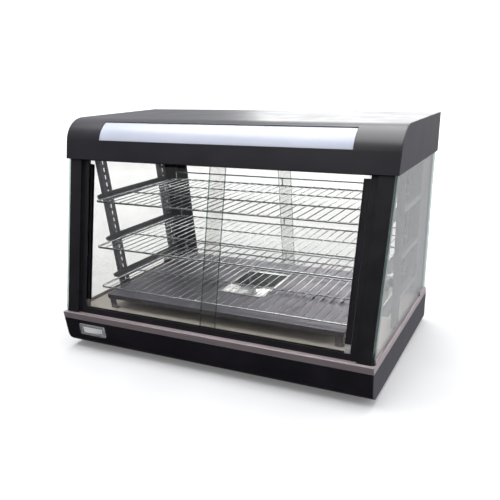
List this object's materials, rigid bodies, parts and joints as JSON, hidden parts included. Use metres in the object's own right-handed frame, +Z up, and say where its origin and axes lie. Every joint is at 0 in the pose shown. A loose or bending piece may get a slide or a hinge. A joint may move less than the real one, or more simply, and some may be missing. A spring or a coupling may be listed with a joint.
{
  "type": "hot food display case",
  "caption": "Countertop heated display case with a curved black hood, leaning sliding glass doors, wire shelves, a louvred heat deck and a water pan.",
  "frame": {"origin": "middle of the overall box, on the worktop under the feet", "axes": "+X along the width to the right as seen from the front, +Y from the front doors to the rear panel, +Z up"},
  "size_m": [0.9, 0.5504, 0.584],
  "materials": {
    "black_paint": "satin",
    "side_paint": "satin",
    "rubber": "matte",
    "screw_zinc": "satin",
    "sill_steel": "brushed",
    "floor_steel": "polished",
    "deck_steel": "satin",
    "pan_steel": "polished",
    "heater_sheath": "dull",
    "ceramic": "matte",
    "black_plastic": "matte",
    "black_aluminium": "anodised",
    "glass": "clear",
    "grey_paint": "satin",
    "chrome_wire": "bright",
    "nylon": "matte",
    "opal": "opal",
    "galvanised": "satin",
    "lamp_glass": "frosted",
    "white_plastic": "gloss",
    "chrome_trim": "bright",
    "clear_plastic": "clear",
    "red_plastic": "gloss"
  },
  "bodies": {
    "cabinet": {"base_shell": "black_paint", "base_side_left": "side_paint", "base_side_right": "side_paint", "rear_panel": "black_paint", "rubber_feet": "rubber", "screws": "screw_zinc", "sill_front": "sill_steel", "side_trim_left": "sill_steel", "side_trim_right": "sill_steel", "floor_pan": "floor_steel", "heat_deck": "deck_steel", "deck_legs": "deck_steel", "water_pan": "pan_steel", "heaters": "heater_sheath", "heater_mounts": "ceramic", "front_track": "black_plastic", "rear_track": "black_plastic", "front_post_left": "black_aluminium", "front_post_right": "black_aluminium", "rear_post_left": "black_aluminium", "rear_post_right": "black_aluminium", "side_glass_left": "glass", "side_glass_right": "glass", "glass_clips": "sill_steel", "front_standards": "grey_paint", "rear_standards": "grey_paint", "shelf_arms_left": "grey_paint", "shelf_arms_right": "grey_paint", "hood_shell": "black_paint", "hood_side_left": "side_paint", "hood_side_right": "side_paint", "opal_panel": "opal", "hood_ceiling": "galvanised", "front_channel": "black_plastic", "rear_channel": "black_plastic", "lamp_tube": "lamp_glass", "lamp_holders": "white_plastic", "lamp_driver": "galvanised", "light_switch_bezel": "chrome_trim", "light_switch_cover": "clear_plastic", "power_switch_body": "black_plastic", "thermostat": "galvanised", "cable_gland": "black_plastic"},
    "front_door_left": {"front_door_glass_left": "glass", "front_door_handle_left": "black_plastic", "front_door_glides_left": "nylon"},
    "front_door_right": {"front_door_glass_right": "glass", "front_door_handle_right": "black_plastic", "front_door_glides_right": "nylon"},
    "rear_door_left": {"rear_door_glass_left": "glass", "rear_door_handle_left": "black_plastic"},
    "rear_door_right": {"rear_door_glass_right": "glass", "rear_door_handle_right": "black_plastic"},
    "top_shelf_body": {"top_shelf": "chrome_wire"},
    "middle_shelf_body": {"middle_shelf": "chrome_wire"},
    "bottom_shelf_body": {"bottom_shelf": "chrome_wire"},
    "light_rocker_body": {"light_rocker": "white_plastic"},
    "power_rocker_body": {"power_rocker": "red_plastic"},
    "knob": {"thermostat_knob": "black_plastic"}
  },
  "joints": [
    {"name": "front_door_left_slide", "type": "slide", "parent": "cabinet", "child": "front_door_left", "axis": [1, 0, 0], "range_m": [0, 0.36]},
    {"name": "front_door_right_slide", "type": "slide", "parent": "cabinet", "child": "front_door_right", "axis": [1, 0, 0], "range_m": [-0.36, 0]},
    {"name": "rear_door_left_slide", "type": "slide", "parent": "cabinet", "child": "rear_door_left", "axis": [1, 0, 0], "range_m": [0, 0.36]},
    {"name": "rear_door_right_slide", "type": "slide", "parent": "cabinet", "child": "rear_door_right", "axis": [1, 0, 0], "range_m": [-0.36, 0]},
    {"name": "top_shelf_lift", "type": "slide", "parent": "cabinet", "child": "top_shelf_body", "axis": [0, 0, 1], "range_m": [0, 0.02]},
    {"name": "middle_shelf_lift", "type": "slide", "parent": "cabinet", "child": "middle_shelf_body", "axis": [0, 0, 1], "range_m": [0, 0.04]},
    {"name": "bottom_shelf_lift", "type": "slide", "parent": "cabinet", "child": "bottom_shelf_body", "axis": [0, 0, 1], "range_m": [0, 0.04]},
    {"name": "light_rocker_tilt", "type": "hinge", "parent": "cabinet", "child": "light_rocker_body", "pos_m": [-0.355, -0.25575, 0.062], "axis": [0, 0, 1], "range_deg": [-14, 0]},
    {"name": "power_rocker_tilt", "type": "hinge", "parent": "cabinet", "child": "power_rocker_body", "pos_m": [0.2, 0.25725, 0.054], "axis": [0, 0, 1], "range_deg": [-14, 0]},
    {"name": "thermostat_knob_turn", "type": "hinge", "parent": "cabinet", "child": "knob", "pos_m": [0.3, 0.25925, 0.054], "axis": [0, -1, 0], "range_deg": [0, 300]}
  ]
}
